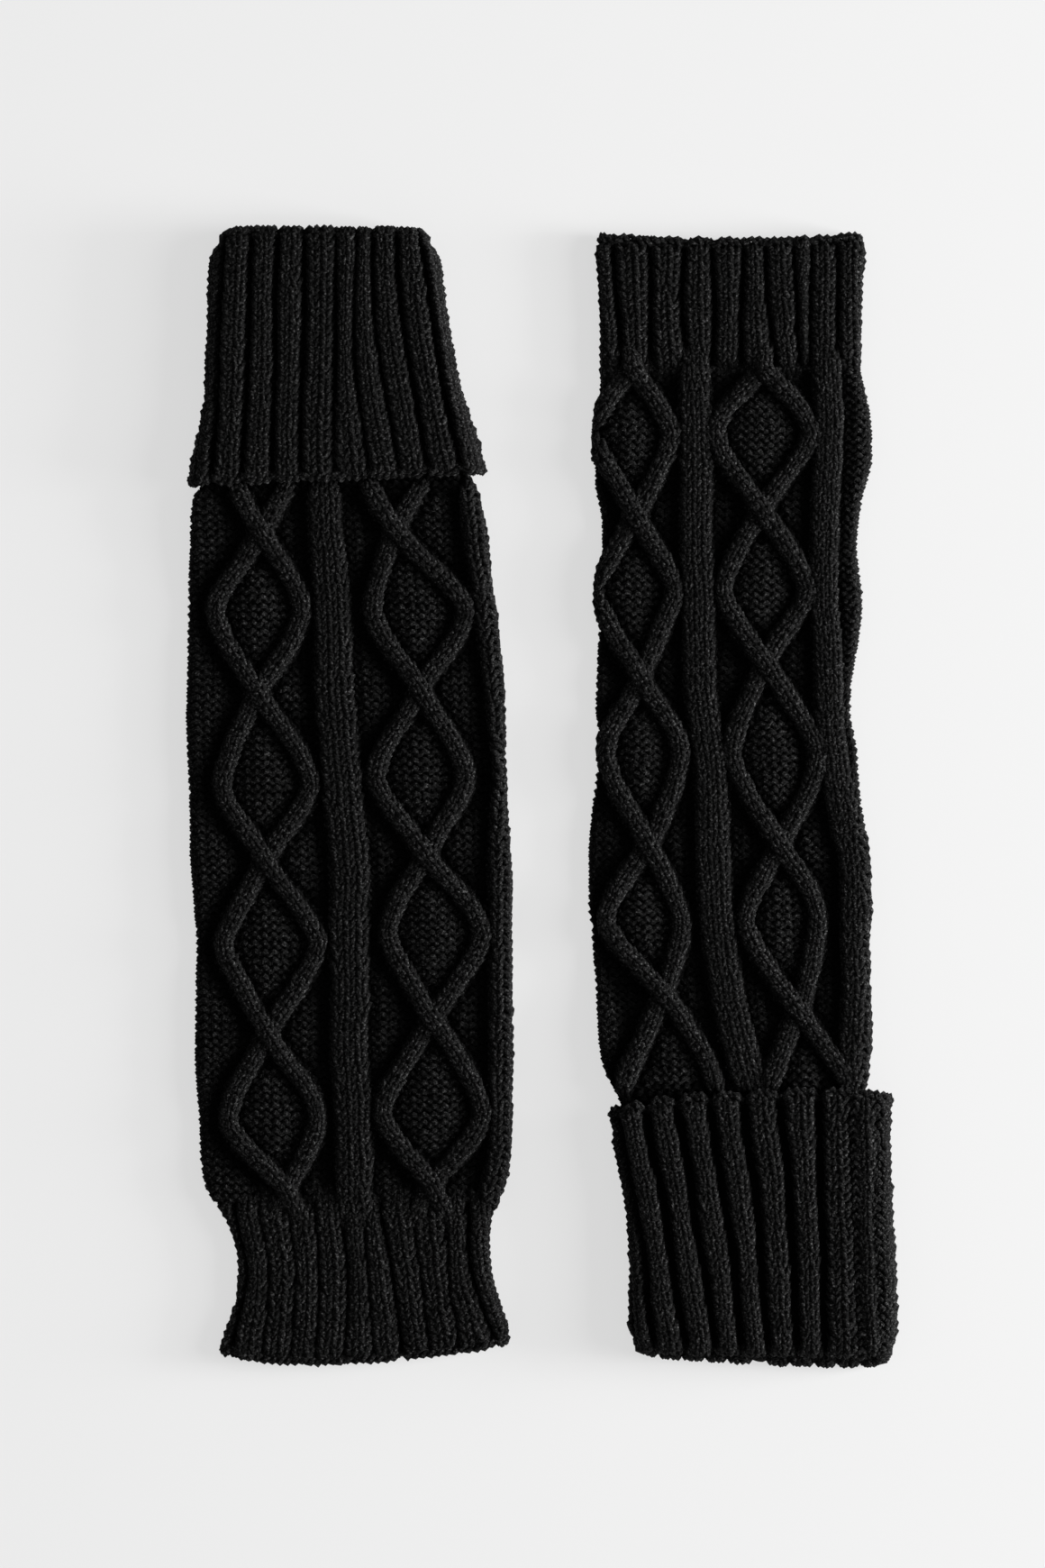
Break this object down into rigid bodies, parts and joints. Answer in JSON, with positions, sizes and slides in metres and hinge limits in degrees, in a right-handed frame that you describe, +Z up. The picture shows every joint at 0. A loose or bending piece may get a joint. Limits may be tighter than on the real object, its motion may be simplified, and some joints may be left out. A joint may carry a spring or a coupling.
{
  "type": "pair of leg warmers",
  "caption": "Pair of long cable-knit leg warmers laid flat side by side, each a soft tube with one plain ribbed end and one ribbed cuff turned back over the leg.",
  "frame": {"origin": "middle of the pair's outline, on the surface it lies on", "axes": "+Y along both legs, with the left one's turned cuff at +Y and the right one's at -Y; +X to the right across the pair; +Z up out of the surface"},
  "size_m": [0.2536, 0.4039, 0.014],
  "materials": {
    "cable_knit": "near-black chunky brushed acrylic yarn, cable knit on reverse stocking stitch, matt and slightly fuzzy",
    "rib_knit": "the same near-black yarn in two-by-two rib, matt and slightly fuzzy"
  },
  "bodies": {
    "root": {"left_cuff": "rib_knit", "left_leg": "cable_knit", "left_end": "rib_knit", "right_end": "rib_knit", "right_leg": "cable_knit", "right_cuff": "rib_knit"}
  },
  "joints": []
}
